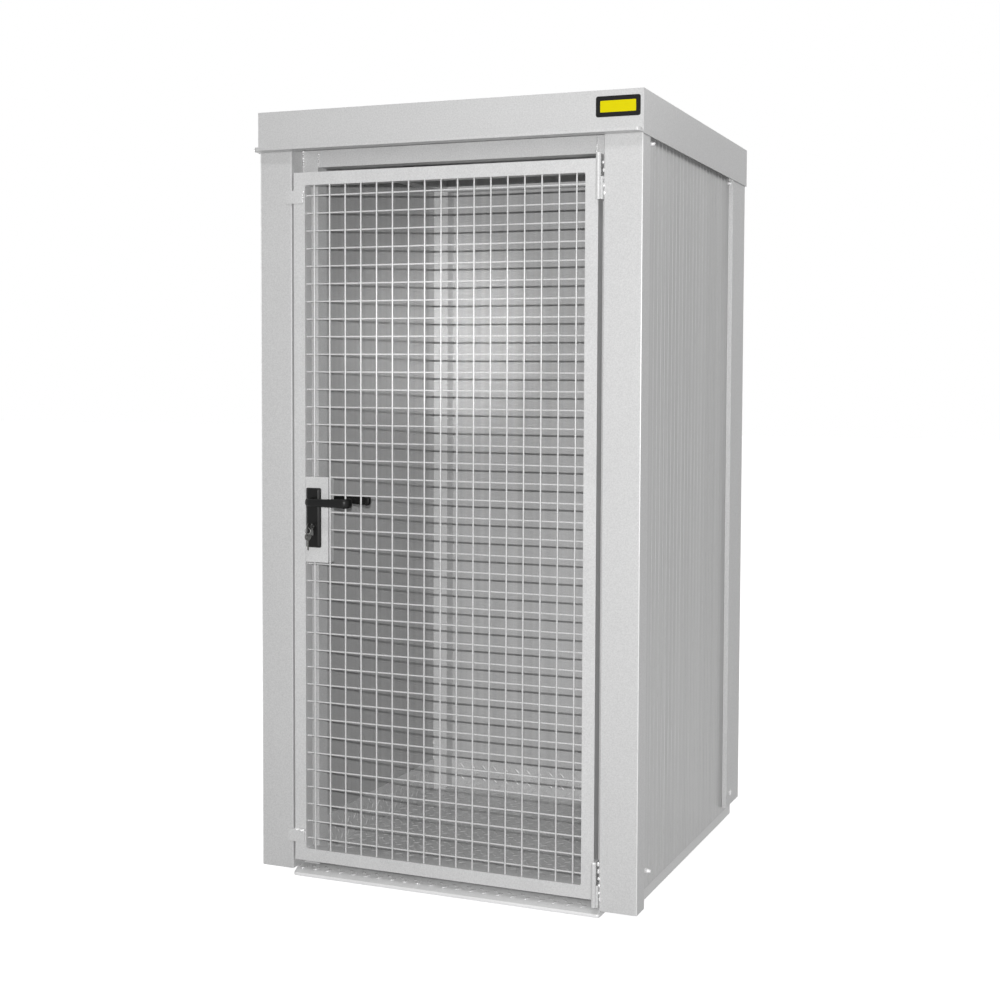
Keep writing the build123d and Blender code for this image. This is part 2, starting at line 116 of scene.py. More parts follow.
finishes = {
    "coatedSheet": {"tone": (0.69, 0.69, 0.69), "grain": 260.0, "grainSpread": 0.50, "streak": (4, 4, 3),
                    "streakSpread": 0.06, "roughness": 0.36, "roughnessSpread": 0.10, "metallic": 0.0,
                    "specular": 0.5, "bump": 0.14},
    "wallSheet": {"tone": (0.56, 0.56, 0.56), "grain": 300.0, "grainSpread": 0.34, "streak": (40, 40, 0.2),
                  "streakSpread": 0.42, "roughness": 0.30, "roughnessSpread": 0.08, "metallic": 0.12,
                  "specular": 0.3, "bump": 0.08},
    "zincTube": {"tone": (0.72, 0.72, 0.72), "grain": 260.0, "grainSpread": 0.50, "streak": (14, 14, 9),
                 "streakSpread": 0.12, "roughness": 0.32, "roughnessSpread": 0.12, "metallic": 0.05,
                 "specular": 0.6, "bump": 0.14},
    "tearPlate": {"tone": (0.74, 0.74, 0.74), "grain": 220.0, "grainSpread": 0.50, "streak": (12, 12, 12),
                  "streakSpread": 0.25, "roughness": 0.36, "roughnessSpread": 0.2, "metallic": 0.2,
                  "specular": 0.5, "bump": 0.2},
    # the next finish is the plate painted near white as a painted highlight, used for the sill and the bends
    # of the posts
    "paintedHighlightPlate": {"tone": (0.95, 0.95, 0.95), "grain": 260.0, "grainSpread": 0.25, "streak": (12, 12, 12),
                    "streakSpread": 0.1, "roughness": 0.34, "roughnessSpread": 0.1, "metallic": 0.1,
                    "specular": 0.6, "bump": 0.2},
    # the next finish is painted brighter than the zinc it sits on: painted highlights for welds, nuts, caps,
    # tears and the lip ends
    "weldPaintedHighlight": {"tone": (0.90, 0.90, 0.90), "grain": 500.0, "grainSpread": 0.25, "streak": (60, 60, 60),
                  "streakSpread": 0.2, "roughness": 0.26, "roughnessSpread": 0.1, "metallic": 0.2,
                  "specular": 0.7, "bump": 0.3},
    "blackNylon": {"tone": (0.008, 0.008, 0.008), "grain": 900.0, "grainSpread": 0.3, "streak": (40, 40, 40),
                   "streakSpread": 0.2, "roughness": 0.36, "roughnessSpread": 0.1, "metallic": 0.0,
                   "specular": 0.18, "bump": 0.12},
    "darkNickel": {"tone": (0.12, 0.12, 0.118), "grain": 700.0, "grainSpread": 0.2, "streak": (150, 150, 150),
                   "streakSpread": 0.5, "roughness": 0.2, "roughnessSpread": 0.1, "metallic": 0.9,
                   "specular": 0.5, "bump": 0.05},
    "platedBrass": {"tone": (0.33, 0.33, 0.32), "grain": 700.0, "grainSpread": 0.2, "streak": (150, 150, 150),
                    "streakSpread": 0.4, "roughness": 0.26, "roughnessSpread": 0.1, "metallic": 0.9,
                    "specular": 0.5, "bump": 0.05},
    "blackEnamel": {"tone": (0.008, 0.008, 0.008), "grain": 600.0, "grainSpread": 0.1, "streak": (30, 30, 30),
                    "streakSpread": 0.1, "roughness": 0.35, "roughnessSpread": 0.05, "metallic": 0.0,
                    "specular": 0.2, "bump": 0.03},
    "yellowEnamel": {"tone": (0.80, 0.70, 0.0), "grain": 600.0, "grainSpread": 0.06, "streak": (30, 30, 30),
                     "streakSpread": 0.05, "roughness": 0.35, "roughnessSpread": 0.05, "metallic": 0.0,
                     "specular": 0.2, "bump": 0.03},
}
# the rear wall is the same sheet as the side walls, written lighter to match the photograph: painted light for
# the stronger light that falls on it
finishes["rearSheetPaintedLight"] = dict(finishes["wallSheet"], tone=(0.63, 0.63, 0.63))


def makeFinish(name, values):
    # a Principled surface whose colour, roughness and bump come from the grain group on Object coordinates
    material = bpy.data.materials.new(name)
    material.use_nodes = True
    tree = material.node_tree
    shader = tree.nodes["Principled BSDF"]
    shader.inputs["Metallic"].default_value = values["metallic"]
    shader.inputs["Specular IOR Level"].default_value = values["specular"]
    position = tree.nodes.new("ShaderNodeTexCoord")
    grain = tree.nodes.new("ShaderNodeGroup")
    grain.node_tree = grainGroup
    grain.inputs["Tone"].default_value = (*values["tone"], 1.0)
    grain.inputs["Grain Size"].default_value = values["grain"]
    grain.inputs["Grain Spread"].default_value = values["grainSpread"]
    grain.inputs["Streak Scale"].default_value = values["streak"]
    grain.inputs["Streak Spread"].default_value = values["streakSpread"]
    grain.inputs["Roughness Level"].default_value = values["roughness"]
    grain.inputs["Roughness Spread"].default_value = values["roughnessSpread"]
    tree.links.new(position.outputs["Object"], grain.inputs["Position"])
    tree.links.new(grain.outputs["Color"], shader.inputs["Base Color"])
    tree.links.new(grain.outputs["Roughness"], shader.inputs["Roughness"])
    bump = tree.nodes.new("ShaderNodeBump")
    bump.inputs["Strength"].default_value = values["bump"]
    bump.inputs["Distance"].default_value = grainNoise["bumpDistance"]
    tree.links.new(grain.outputs["Height"], bump.inputs["Height"])
    tree.links.new(bump.outputs["Normal"], shader.inputs["Normal"])
    return material


materials = {name: makeFinish(name, values) for name, values in finishes.items()}

nodeFinishes = {
    "coatedSheet": ["front_left_post", "front_right_post", "rear_left_post", "rear_right_post",
                    "roof_sheet", "front_fascia", "left_fascia", "right_fascia", "rear_fascia"],
    "wallSheet": ["left_wall", "right_wall"],
    "rearSheetPaintedLight": ["rear_wall"],
    "zincTube": ["front_left_upright", "front_right_upright", "rear_left_upright", "rear_right_upright",
                 "base_left_rail", "base_right_rail", "base_rear_rail", "top_left_rail", "top_right_rail",
                 "top_rear_rail", "door_header", "floor_bearers", "roof_purlins", "post_hinges",
                 "door_left_stile", "door_right_stile", "door_top_rail", "door_bottom_rail", "lower_mesh",
                 "upper_mesh", "stop_tabs", "door_hinges", "lock_case"],
    "tearPlate": ["floor_plate", "left_kick_plate", "right_kick_plate", "rear_kick_plate"],
    "paintedHighlightPlate": ["door_sill"],
    "blackNylon": ["handle_plates", "outer_lever", "inner_lever"],
    "darkNickel": ["lock_cylinder", "lock_plug", "key"],
}
for finish, names in nodeFinishes.items():
    for name in names:
        nodes[name].data.materials.clear()
        nodes[name].data.materials.append(materials[finish])
print("materials done:", len(materials))


# shapes as (points, faces), worked out as whole arrays
def ringSurface(rings):
    # rings of points joined by quads, each end closed by one flat face
    count, sides = rings.shape[:2]
    ring = np.arange(count - 1)[:, None] * sides
    here = np.arange(sides)[None, :]
    there = (here + 1) % sides
    quads = np.stack([ring + here, ring + there, ring + sides + there, ring + sides + here], -1)
    last = (count - 1) * sides
    faces = quads.reshape(-1, 4).tolist() + [list(range(sides)), list(range(last, last + sides))]
    return rings.reshape(-1, 3), faces


def scatter(template, turns, places):
    # one template copied many times: point = place + turn x template point
    points, faces = template
    moved = np.einsum("nij,kj->nki", turns, points) + places[:, None, :]
    offsets = np.arange(len(places)) * len(points)
    copied = []
    for size in {len(face) for face in faces}:
        some = np.array([face for face in faces if len(face) == size])
        copied += (some[None] + offsets[:, None, None]).reshape(-1, size).tolist()
    return moved.reshape(-1, 3), copied


def loopSurface(rings):
    # rings of points joined by quads both round each ring and from the last ring back to the first
    count, sides = rings.shape[:2]
    ring = np.arange(count)[:, None]
    here = np.arange(sides)[None, :]
    nextRing, there = (ring + 1) % count, (here + 1) % sides
    faces = np.stack([ring * sides + here, ring * sides + there, nextRing * sides + there,
                      nextRing * sides + here], -1)
    return rings.reshape(-1, 3), faces.reshape(-1, 4).tolist()


def join(*shapes):
    # several shapes as one: each one's face indices move past the points before it
    points, faces, offset = [], [], 0
    for shapePoints, shapeFaces in shapes:
        points.append(shapePoints)
        faces += [[index + offset for index in face] for face in shapeFaces]
        offset += len(shapePoints)
    return np.concatenate(points), faces


def fullTurn(sides):
    # evenly spaced angles round a full turn
    return np.arange(sides) * 2 * np.pi / sides


def unitTube(sides):
    # radius 1 round Z, from z 0 to z 1
    angle = fullTurn(sides)
    ring = np.stack([np.cos(angle), np.sin(angle), np.zeros(sides)], -1)
    return ringSurface(np.stack([ring, ring + (0, 0, 1)]))


def unitBead(sides=9, rows=6, poleGap=0.06):
    # a ball of radius 1, its rings from pole to pole, flattened shut at the two ends
    angle = fullTurn(sides)
    tilt = np.linspace(poleGap, np.pi - poleGap, rows)[:, None]
    rings = np.stack([np.sin(tilt) * np.cos(angle), np.sin(tilt) * np.sin(angle),
                      np.cos(tilt) * np.ones(sides)], -1)
    return ringSurface(rings)


def unitTear(sides=10, pointed=0.35):
    # a raised tear: x and y shrink towards the crest as z rises, with pointed ends
    angle = fullTurn(sides)
    rings = [np.stack([size * np.cos(angle), size * np.sin(angle) * np.abs(np.sin(angle)) ** pointed,
                       rise * np.ones(sides)], -1)
             for size, rise in ((1.0, -0.25), (0.78, 0.62), (0.40, 1.0))]
    return ringSurface(np.stack(rings))


def addPiece(name, shape, material, body, replaced=(), sharpAngle=38.0):
    # a mesh in metres, its faces turned outwards, smooth except at edges sharper than sharpAngle
    points, faces = shape
    mesh = bpy.data.meshes.new(name)
    mesh.from_pydata((points / mmPerMetre).tolist(), [], faces)
    work = bmesh.new()
    work.from_mesh(mesh)
    bmesh.ops.recalc_face_normals(work, faces=work.faces)
    work.to_mesh(mesh)
    work.free()
    mesh.polygons.foreach_set("use_smooth", np.ones(len(mesh.polygons), bool))
    mesh.set_sharp_from_angle(angle=math.radians(sharpAngle))
    mesh.materials.append(materials[material])
    piece = bpy.data.objects.new(name, mesh)
    bpy.context.scene.collection.objects.link(piece)
    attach(piece, body)
    if replaced:
        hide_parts(*replaced)


# round welded wires of the door, cut off at the sides of the lock's housing
lockHousing = {"right": -355.5, "bottom": 915.0, "top": 1160.0, "corner": 2.5, "bevel": 1.2,
               "openLeft": -417.0, "openRight": -382.0, "openBottom": 964.0, "openTop": 1122.0,
               "openCorner": 2.0}
doorMesh = {"wireRadius": 2.5, "pitchAcross": 49.3, "pitchUp": 49.85, "firstColumn": 25.5, "firstRow": 28.2,
            "frameGap": 5.0, "housingGap": 3.0, "sides": 10, "sunk": 0.3}
wiresLow = np.minimum(nodeBox("lower_mesh")[0], nodeBox("upper_mesh")[0])
wiresHigh = np.maximum(nodeBox("lower_mesh")[1], nodeBox("upper_mesh")[1])


def wireShapes(low, high, housing, setup):
    # upright wires in front, level ones behind: each is a unit tube stretched between its two ends;
    # none lies within frameGap of the frame's far sides, and those that meet the housing end at it
    right, bottom, top = housing["right"], housing["bottom"], housing["top"]
    radius, frameGap, housingGap = setup["wireRadius"], setup["frameGap"], setup["housingGap"]
    columns = np.arange(low[0] + setup["firstColumn"], high[0] - frameGap, setup["pitchAcross"])
    rows = np.arange(low[2] + setup["firstRow"], high[2] - frameGap, setup["pitchUp"])
    frontY = low[1] + radius + setup["sunk"]
    rearY = low[1] + 3 * radius - setup["sunk"]
    beside = columns < right
    spans = [(x, low[2], high[2]) for x in columns[~beside]]
    spans += [(x, low[2], bottom) for x in columns[beside]]
    spans += [(x, top, high[2]) for x in columns[beside]]
    spans = np.array(spans)
    upPlaces = np.stack([spans[:, 0], np.full(len(spans), frontY), spans[:, 1]], -1)
    upTurns = np.zeros((len(spans), 3, 3))
    upTurns[:, 0, 0] = upTurns[:, 1, 1] = radius
    upTurns[:, 2, 2] = spans[:, 2] - spans[:, 1]
    startX = np.where((rows > bottom - housingGap) & (rows < top + housingGap), right, low[0])
    levelPlaces = np.stack([startX, np.full(len(rows), rearY), rows], -1)
    levelTurns = np.zeros((len(rows), 3, 3))
    levelTurns[:, 1, 0] = levelTurns[:, 2, 1] = radius
    levelTurns[:, 0, 2] = high[0] - startX
    tube = unitTube(setup["sides"])
    return join(scatter(tube, upTurns, upPlaces), scatter(tube, levelTurns, levelPlaces))


addPiece("doorWires", wireShapes(wiresLow, wiresHigh, lockHousing, doorMesh), "zincTube", "door",
         ("lower_mesh", "upper_mesh"))
print("door wires done")


# tears raised on the floor, the kick plates and the sill
tears = {"pitch": 41.0, "long": 13.0, "wide": 4.2, "high": 1.5, "margin": 16.0, "slack": 0.1}


def tearField(origin, along, across, normal, length, width, setup, firstTurn=0.0):
    # two offset grids of tears at +45 and -45 degrees on a flat face; slack keeps a tear that is on the margin
    along, across, normal = (np.array(v, float) for v in (along, across, normal))
    places, turns = [], []
    for shift, angle in ((0.0, 45.0), (0.5, -45.0)):
        first = setup["margin"] + shift * setup["pitch"]
        u = np.arange(first, length - setup["margin"] + setup["slack"], setup["pitch"])
        v = np.arange(first, width - setup["margin"] + setup["slack"], setup["pitch"])
        if len(u) == 0 or len(v) == 0:
            continue
        gridU, gridV = (g.reshape(-1, 1) for g in np.meshgrid(u, v))
        places.append(np.array(origin, float) + gridU * along + gridV * across)
        turn = math.radians(angle + firstTurn)
        longWay = math.cos(turn) * along + math.sin(turn) * across
        wideWay = -math.sin(turn) * along + math.cos(turn) * across
        one = np.stack([longWay * setup["long"], wideWay * setup["wide"], normal * setup["high"]], -1)
        turns.append(np.repeat(one[None], len(gridU), 0))
    return scatter(unitTear(), np.concatenate(turns), np.concatenate(places))


floorLow, floorHigh = nodeBox("floor_plate")
leftKickLow, leftKickHigh = nodeBox("left_kick_plate")
rightKickLow, rightKickHigh = nodeBox("right_kick_plate")
rearKickLow, rearKickHigh = nodeBox("rear_kick_plate")
sillLow, sillHigh = nodeBox("door_sill")
floorTears = join(
    tearField((floorLow[0], floorLow[1], floorHigh[2]), (1, 0, 0), (0, 1, 0), (0, 0, 1),
              floorHigh[0] - floorLow[0], floorHigh[1] - floorLow[1], tears),
    tearField((leftKickHigh[0], leftKickLow[1], leftKickLow[2]), (0, 1, 0), (0, 0, 1), (1, 0, 0),
              leftKickHigh[1] - leftKickLow[1], leftKickHigh[2] - leftKickLow[2], tears),
    tearField((rightKickLow[0], rightKickLow[1], rightKickLow[2]), (0, 1, 0), (0, 0, 1), (-1, 0, 0),
              rightKickHigh[1] - rightKickLow[1], rightKickHigh[2] - rightKickLow[2], tears),
    tearField((rearKickLow[0], rearKickLow[1], rearKickLow[2]), (1, 0, 0), (0, 0, 1), (0, -1, 0),
              rearKickHigh[0] - rearKickLow[0], rearKickHigh[2] - rearKickLow[2], tears),
)
addPiece("floorTears", floorTears, "tearPlate", "container")


sill = {"corner": 8.0, "cornerSteps": 8, "slopeFrom": 20.0, "slopeTo": 6.0, "slopeDrop": 9.5, "crown": 0.6,
        "nose": 5.0, "noseSteps": 5, "chamferIn": 2.0, "chamferUp": 1.5}


def roundedFront(low, high, setup, sideGap=0.0):
    # places along x, closer together at the round corners, and how far before the corners' centres each lies
    distance = setup["corner"] * (1 - np.cos(np.linspace(0, np.pi / 2, setup["cornerSteps"])))
    x = np.concatenate([low[0] + sideGap + distance, high[0] - sideGap - distance[::-1]])
    edge = setup["corner"] - np.minimum(np.minimum(x - low[0], high[0] - x), setup["corner"])
    return x, np.sqrt(np.maximum(setup["corner"] ** 2 - edge ** 2, 0.0))


def sillShape(low, high, setup):
    # one closed profile (flat top, slope, rounded nose, front, underside) whose front follows round corners
    x, arc = roundedFront(low, high, setup)
    front = low[1] + setup["corner"] - arc
    top, nose, slopeEnd = high[2], setup["nose"], high[2] - setup["slopeDrop"]
    turn = np.linspace(0, np.pi / 2, setup["noseSteps"])
    profileY = np.concatenate([[setup["slopeFrom"], setup["slopeTo"]], nose - nose * np.sin(turn),
                               [0.0, setup["chamferIn"]]])
    profileZ = np.concatenate([[top, slopeEnd + setup["crown"]], slopeEnd - nose + nose * np.cos(turn),
                               [setup["chamferUp"], 0.0]])
    y = front[:, None] + profileY[None]
    rear = np.full((len(x), 1), high[1])
    y = np.concatenate([rear, y, rear], 1)
    z = np.broadcast_to(np.concatenate([[top], profileZ, [0.0]]), y.shape)
    return ringSurface(np.stack([np.broadcast_to(x[:, None], y.shape), y, z], -1))


# the sill is drawn in the near-white finish: a painted highlight on the tear plate's top and front lip
addPiece("sillPlate", sillShape(sillLow, sillHigh, sill), "paintedHighlightPlate", "container",
         ("door_sill",))
# the sill's tears are drawn in the bright weld finish: painted highlights on their crests
sillTear = dict(tears, high=2.6, wide=4.8, long=12.0, sideGap=8.0, frontGap=6.0, sunk=0.6, turn=10.0)
sillTears = tearField((sillLow[0] + sillTear["sideGap"], sillLow[1] + sillTear["frontGap"],
                       sillHigh[2] - sillTear["sunk"]), (1, 0, 0), (0, 1, 0), (0, 0, 1),
                      sillHigh[0] - sillLow[0] - 2 * sillTear["sideGap"],
                      sillHigh[1] - sillLow[1] - sillTear["frontGap"], sillTear, sillTear["turn"])
addPiece("sillTears", sillTears, "weldPaintedHighlight", "container")
print("tear plate done")


# weld seams, as rows of uneven beads, in a finish painted brighter than the frame: painted highlights on the
# beads
bead = {"stray": 0.35, "smallest": 0.75, "largest": 1.3}


def seam(start, end, count, radius, seed, tall=1.0):
    # beads evenly spaced from start to end, each moved and stretched a little by a seeded draw
    rng = np.random.default_rng(seed)
    t = (np.arange(count) + 0.5) / count
    places = np.array(start)[None] + t[:, None] * (np.array(end) - np.array(start))[None]
    places = places + rng.uniform(-bead["stray"], bead["stray"], (count, 3)) * radius
    size = radius * rng.uniform(bead["smallest"], bead["largest"], (count, 3)) * (1, 1, tall)
    turns = np.zeros((count, 3, 3))
    turns[:, [0, 1, 2], [0, 1, 2]] = size
    return scatter(unitBead(), turns, places)


uprightLow = nodeBox("front_left_upright")[0]
headerLow, headerHigh = nodeBox("door_header")
rearLow, rearHigh = nodeBox("rear_left_upright")
hingeLow, hingeHigh = nodeBox("post_hinges")
tabLow, tabHigh = nodeBox("stop_tabs")
postInner, postFront = nodeBox("front_right_post")[0][:2]
frontY = uprightLow[1] - 1.0
frameWelds = {
    "leftUpright": {"start": (uprightLow[0] + 3, frontY, 2046), "end": (uprightLow[0] + 3, frontY, 2098),
                    "count": 8, "radius": 3.6, "seed": 1},
    "headerLeft": {"start": (headerLow[0] + 1, frontY, headerLow[2] + 2),
                   "end": (headerLow[0] + 1, frontY, 2082),
                   "count": 6, "radius": 3.2, "seed": 2},
    "headerRight": {"start": (headerHigh[0] + 2, frontY, headerLow[2] + 2),
                    "end": (headerHigh[0] + 2, frontY, 2092), "count": 8, "radius": 3.2, "seed": 3},
    "lowerHinge": {"start": (postInner + 2, postFront - 0.5, hingeLow[2] + 10),
                   "end": (postInner - 3, postFront - 0.5, hingeLow[2] + 124),
                   "count": 6, "radius": 3.8, "seed": 4, "tall": 1.5},
    "upperHinge": {"start": (postInner + 1, postFront + 0.5, hingeHigh[2] - 112),
                   "end": (postInner - 3, postFront + 0.5, hingeHigh[2] - 14),
                   "count": 5, "radius": 2.8, "seed": 5, "tall": 2.2},
    "rearUprightUpper": {"start": (rearLow[0], rearLow[1] - 1, 176),
                         "end": (rearLow[0] + 3, rearLow[1] - 1, 186),
                         "count": 2, "radius": 4.0, "seed": 6},
    "rearUprightLower": {"start": (rearLow[0] - 1, rearLow[1] - 1, 124),
                         "end": (rearLow[0] + 3, rearLow[1] - 1, 131), "count": 2, "radius": 3.6, "seed": 7},
    "rearUprightFoot": {"start": (rearHigh[0] - 6, rearLow[1] - 2, 23),
                        "end": (rearHigh[0] + 1, rearLow[1] - 2, 34),
                        "count": 3, "radius": 3.6, "seed": 8},
    "rearUprightTop": {"start": (rearLow[0] + 2, rearLow[1] - 1, 2064),
                       "end": (rearLow[0] + 2, rearLow[1] - 1, 2078), "count": 3, "radius": 3.5, "seed": 9},
}
frameSeams = join(*[seam(**weld) for weld in frameWelds.values()])
addPiece("frameSeams", frameSeams, "weldPaintedHighlight", "container")

upperTabTop, lowerTabTop = tabHigh[2], tabLow[2] + 36
doorWelds = {
    "upperTab": {"start": (tabHigh[0] + 3, tabLow[1] + 2.5, upperTabTop - 1),
                 "end": (tabHigh[0] - 2, tabLow[1] + 1.5, upperTabTop - 34),
                 "count": 6, "radius": 3.2, "seed": 11},
    "lowerTab": {"start": (tabHigh[0] - 30, tabLow[1] + 0.5, lowerTabTop),
                 "end": (tabHigh[0] + 1, tabLow[1] + 0.5, lowerTabTop - 3),
                 "count": 6, "radius": 4.2, "seed": 12},
}
doorSeams = join(*[seam(**weld) for weld in doorWelds.values()])
addPiece("doorSeams", doorSeams, "weldPaintedHighlight", "door")


def unitDome(sides=14):
    # half a ball of radius 1 on the XY plane, with a short skirt below it
    angle = fullTurn(sides)
    rings = [np.stack([radius * np.cos(angle), radius * np.sin(angle), np.full(sides, rise)], -1)
             for radius, rise in ((1.0, -0.3), (1.0, 0.0), (0.92, 0.4),
                                  (0.7, 0.72), (0.38, 0.93), (0.08, 1.0))]
    return ringSurface(np.stack(rings))


# domed caps on the hinge barrels, in the bright weld finish: painted highlights
barrelCap = {"radius": 7.2, "height": 4.0, "x": 453.0, "y": -552.3, "tops": (151.0, 2032.8)}
capPlaces = np.array([(barrelCap["x"], barrelCap["y"], z) for z in barrelCap["tops"]])
capTurns = np.repeat(np.diag([barrelCap["radius"], barrelCap["radius"], barrelCap["height"]])[None], 2, 0)
addPiece("barrelCaps", scatter(unitDome(), capTurns, capPlaces), "weldPaintedHighlight", "door")
print("weld seams done")


# cap nuts of the fixings on the sides, in the bright weld finish: painted highlights on the domes
# each row of a nut: its place on the side, how far it stands out, and how much larger than the others it is
capNuts = {"radius": 6.8, "sides": 18, "baseShare": 0.95,
           "rows": ((557.0, -425.0, 107.0, 17.0, 1.0), (571.0, 435.5, 112.0, 4.0, 1.5),
                    (557.0, -436.0, 2066.0, 15.0, 1.0), (557.0, 386.0, 2050.0, 12.0, 1.0))}


def capNut(setup):
    # a six-sided base that ends in a dome, lying towards +X, one long before it is stretched
    radius, sides = setup["radius"], setup["sides"]
    angle = fullTurn(sides)
    hexagon = 1.0 / np.cos((angle + np.pi / 6) % (np.pi / 3) - np.pi / 6) * setup["baseShare"]
    rings = [np.stack([np.full(sides, along), radius * size * (hexagon if flat else 1.0) * np.cos(angle),
                       radius * size * (hexagon if flat else 1.0) * np.sin(angle)], -1)
             for along, size, flat in ((-0.1, 1.0, True), (0.36, 1.0, True), (0.42, 0.86, False),
                                       (0.66, 0.82, False), (0.86, 0.62, False), (1.0, 0.16, False))]
    return ringSurface(np.stack(rings))


nutRows = np.array(capNuts["rows"])
nutPlaces = np.concatenate([nutRows[:, :3], nutRows[:, :3] * (-1, 1, 1)])
nutTurns = np.zeros((len(nutPlaces), 3, 3))
nutTurns[:, 0, 0] = np.concatenate([nutRows[:, 3], -nutRows[:, 3]])
nutTurns[:, 1, 1] = nutTurns[:, 2, 2] = np.tile(nutRows[:, 4], 2)
addPiece("sideNuts", scatter(capNut(capNuts), nutTurns, nutPlaces), "weldPaintedHighlight", "container")

# bright blobs at the two ends of the drip lip: painted highlights where the folded corners catch the light
lipPaintedHighlight = {"x": 562.6, "y": -560.0, "z": 2088.0, "halfSizes": (12.0, 13.0, 6.5)}
lipPlaces = np.array([(side * lipPaintedHighlight["x"], lipPaintedHighlight["y"], lipPaintedHighlight["z"]) for side in (1, -1)])
lipPaintedHighlights = scatter(unitBead(), np.repeat(np.diag(lipPaintedHighlight["halfSizes"])[None], 2, 0), lipPlaces)
addPiece("lipPaintedHighlights", lipPaintedHighlights, "weldPaintedHighlight", "container")


# folded front of the drip lip, and bright lines along the bends of the front posts: painted highlights where
# the bends catch the light
fasciaLow, fasciaHigh = nodeBox("front_fascia")
dripLip = {"corner": 12.0, "cornerSteps": 7, "reach": 29.0, "leastReach": 6.0, "rise": 9.5, "face": 8.5,
           "sheet": 2.0, "lap": 0.6, "lean": 1.2, "sideGap": 0.3, "frontGap": 0.1, "underGap": 0.4,
           "leastUp": 0.5}


def dripLipShape(low, high, setup):
    # the section is a triangle under the lip: a near upright front face and a flat underside;
    # its front follows the round corners, and its top the slope of the lip
    x, arc = roundedFront(low, high, setup, setup["sideGap"])
    inward = np.minimum(setup["corner"] - arc, setup["reach"] - setup["leastReach"])
    topZ = low[2] + setup["sheet"] - setup["lap"] + setup["rise"] * (1 - inward / setup["reach"])
    bottomZ = np.maximum(topZ - setup["face"], low[2] + setup["leastUp"])
    frontEdge = low[1] + setup["frontGap"] + inward
    innerEdge = np.full(len(x), low[1] + setup["reach"])
    y = np.stack([frontEdge, frontEdge + setup["lean"], innerEdge], -1)
    z = np.stack([topZ, bottomZ, np.full(len(x), low[2] + setup["underGap"])], -1)
    return ringSurface(np.stack([np.broadcast_to(x[:, None], y.shape), y, z], -1))


addPiece("dripLipFront", dripLipShape(fasciaLow, fasciaHigh, dripLip), "coatedSheet", "container")

postLow, postHigh = nodeBox("front_right_post")
# thin near-white tubes along the outer corners of the front posts: painted highlights of the bends
bendPaintedHighlight = {"radius": 1.2, "sides": 8, "sunk": 0.5, "endGap": 1.0}
bendPlaces = np.array([(side * (postHigh[0] - bendPaintedHighlight["sunk"]), postLow[1] + bendPaintedHighlight["sunk"],
                        postLow[2] + bendPaintedHighlight["endGap"]) for side in (1, -1)])
bendTurns = np.repeat(np.diag([bendPaintedHighlight["radius"], bendPaintedHighlight["radius"],
                               postHigh[2] - postLow[2] - 2 * bendPaintedHighlight["endGap"]])[None], 2, 0)
addPiece("bendPaintedHighlights", scatter(unitTube(bendPaintedHighlight["sides"]), bendTurns, bendPlaces), "paintedHighlightPlate", "container")


# bevelled plates and lever handles of the lock
def roundedOutline(width, height, corner, perCorner=6):
    # a rectangle with round corners, centred on 0: x along, y up
    angle = np.linspace(0, np.pi / 2, perCorner)
    arcs = []
    for k, (cx, cy) in enumerate(((1, 1), (-1, 1), (-1, -1), (1, -1))):
        a = angle + k * np.pi / 2
        arcs.append(np.stack([cx * (width / 2 - corner) + corner * np.cos(a),
                              cy * (height / 2 - corner) + corner * np.sin(a)], -1))
    return np.concatenate(arcs)


def standUp(outline, x, z, y):
    # a flat outline stood upright about (x, z), at one depth y
    return np.stack([x + outline[:, 0], np.full(len(outline), y), z + outline[:, 1]], -1)


shield = {"corner": 4.0, "sideBevel": 7.5, "endBevel": 2.5, "rim": 3.0, "edge": 0.6, "edgeRise": 0.8}


def shieldShape(centre, width, height, depth, outward, setup):
    # the outline at the door, at the rim, and drawn in at the raised face
    rings = []
    for insetX, insetZ, rise in ((0, 0, 0), (0, 0, setup["rim"]),
                                 (setup["edge"], setup["edge"], setup["rim"] + setup["edgeRise"]),
                                 (setup["sideBevel"], setup["endBevel"], depth)):
        flat = roundedOutline(width - 2 * insetX, height - 2 * insetZ, setup["corner"])
        rings.append(standUp(flat, centre[0], centre[2], centre[1] + outward * rise))
    return ringSurface(np.stack(rings))


def housingShape(low, high, setup):
    # bevelled outline at the front and the back, then the inner opening that the shields cover
    left, right, bottom, top, bevel = low[0], setup["right"], setup["bottom"], setup["top"], setup["bevel"]
    rings = []
    for inset, y in ((bevel, low[1]), (0, low[1] + bevel), (0, high[1] - bevel), (bevel, high[1])):
        flat = roundedOutline(right - left - 2 * inset, top - bottom - 2 * inset, setup["corner"])
        rings.append(standUp(flat, (left + right) / 2, (bottom + top) / 2, y))
    flat = roundedOutline(setup["openRight"] - setup["openLeft"], setup["openTop"] - setup["openBottom"],
                          setup["openCorner"])
    openX, openZ = (setup["openLeft"] + setup["openRight"]) / 2, (setup["openBottom"] + setup["openTop"]) / 2
    rings += [standUp(flat, openX, openZ, y) for y in (high[1], low[1])]
    return loopSurface(np.stack(rings))


platesLow, platesHigh = nodeBox("handle_plates")
caseLow, caseHigh = nodeBox("lock_case")
addPiece("lockHousing", housingShape(caseLow, caseHigh, lockHousing), "zincTube", "door",
         ("lock_case",), 25.0)
plateX = (platesLow[0] + platesHigh[0]) / 2
plateZ = (platesLow[2] + platesHigh[2]) / 2
plateWidth, plateHeight = platesHigh[0] - platesLow[0], platesHigh[2] - platesLow[2]
outerDepth, innerDepth = caseLow[1] - platesLow[1], platesHigh[1] - caseHigh[1]
shields = join(shieldShape((plateX, caseLow[1], plateZ), plateWidth, plateHeight, outerDepth, -1, shield),
               shieldShape((plateX, caseHigh[1], plateZ), plateWidth, plateHeight, innerDepth, 1, shield))
addPiece("handleShields", shields, "blackNylon", "door", ("handle_plates",), 25.0)

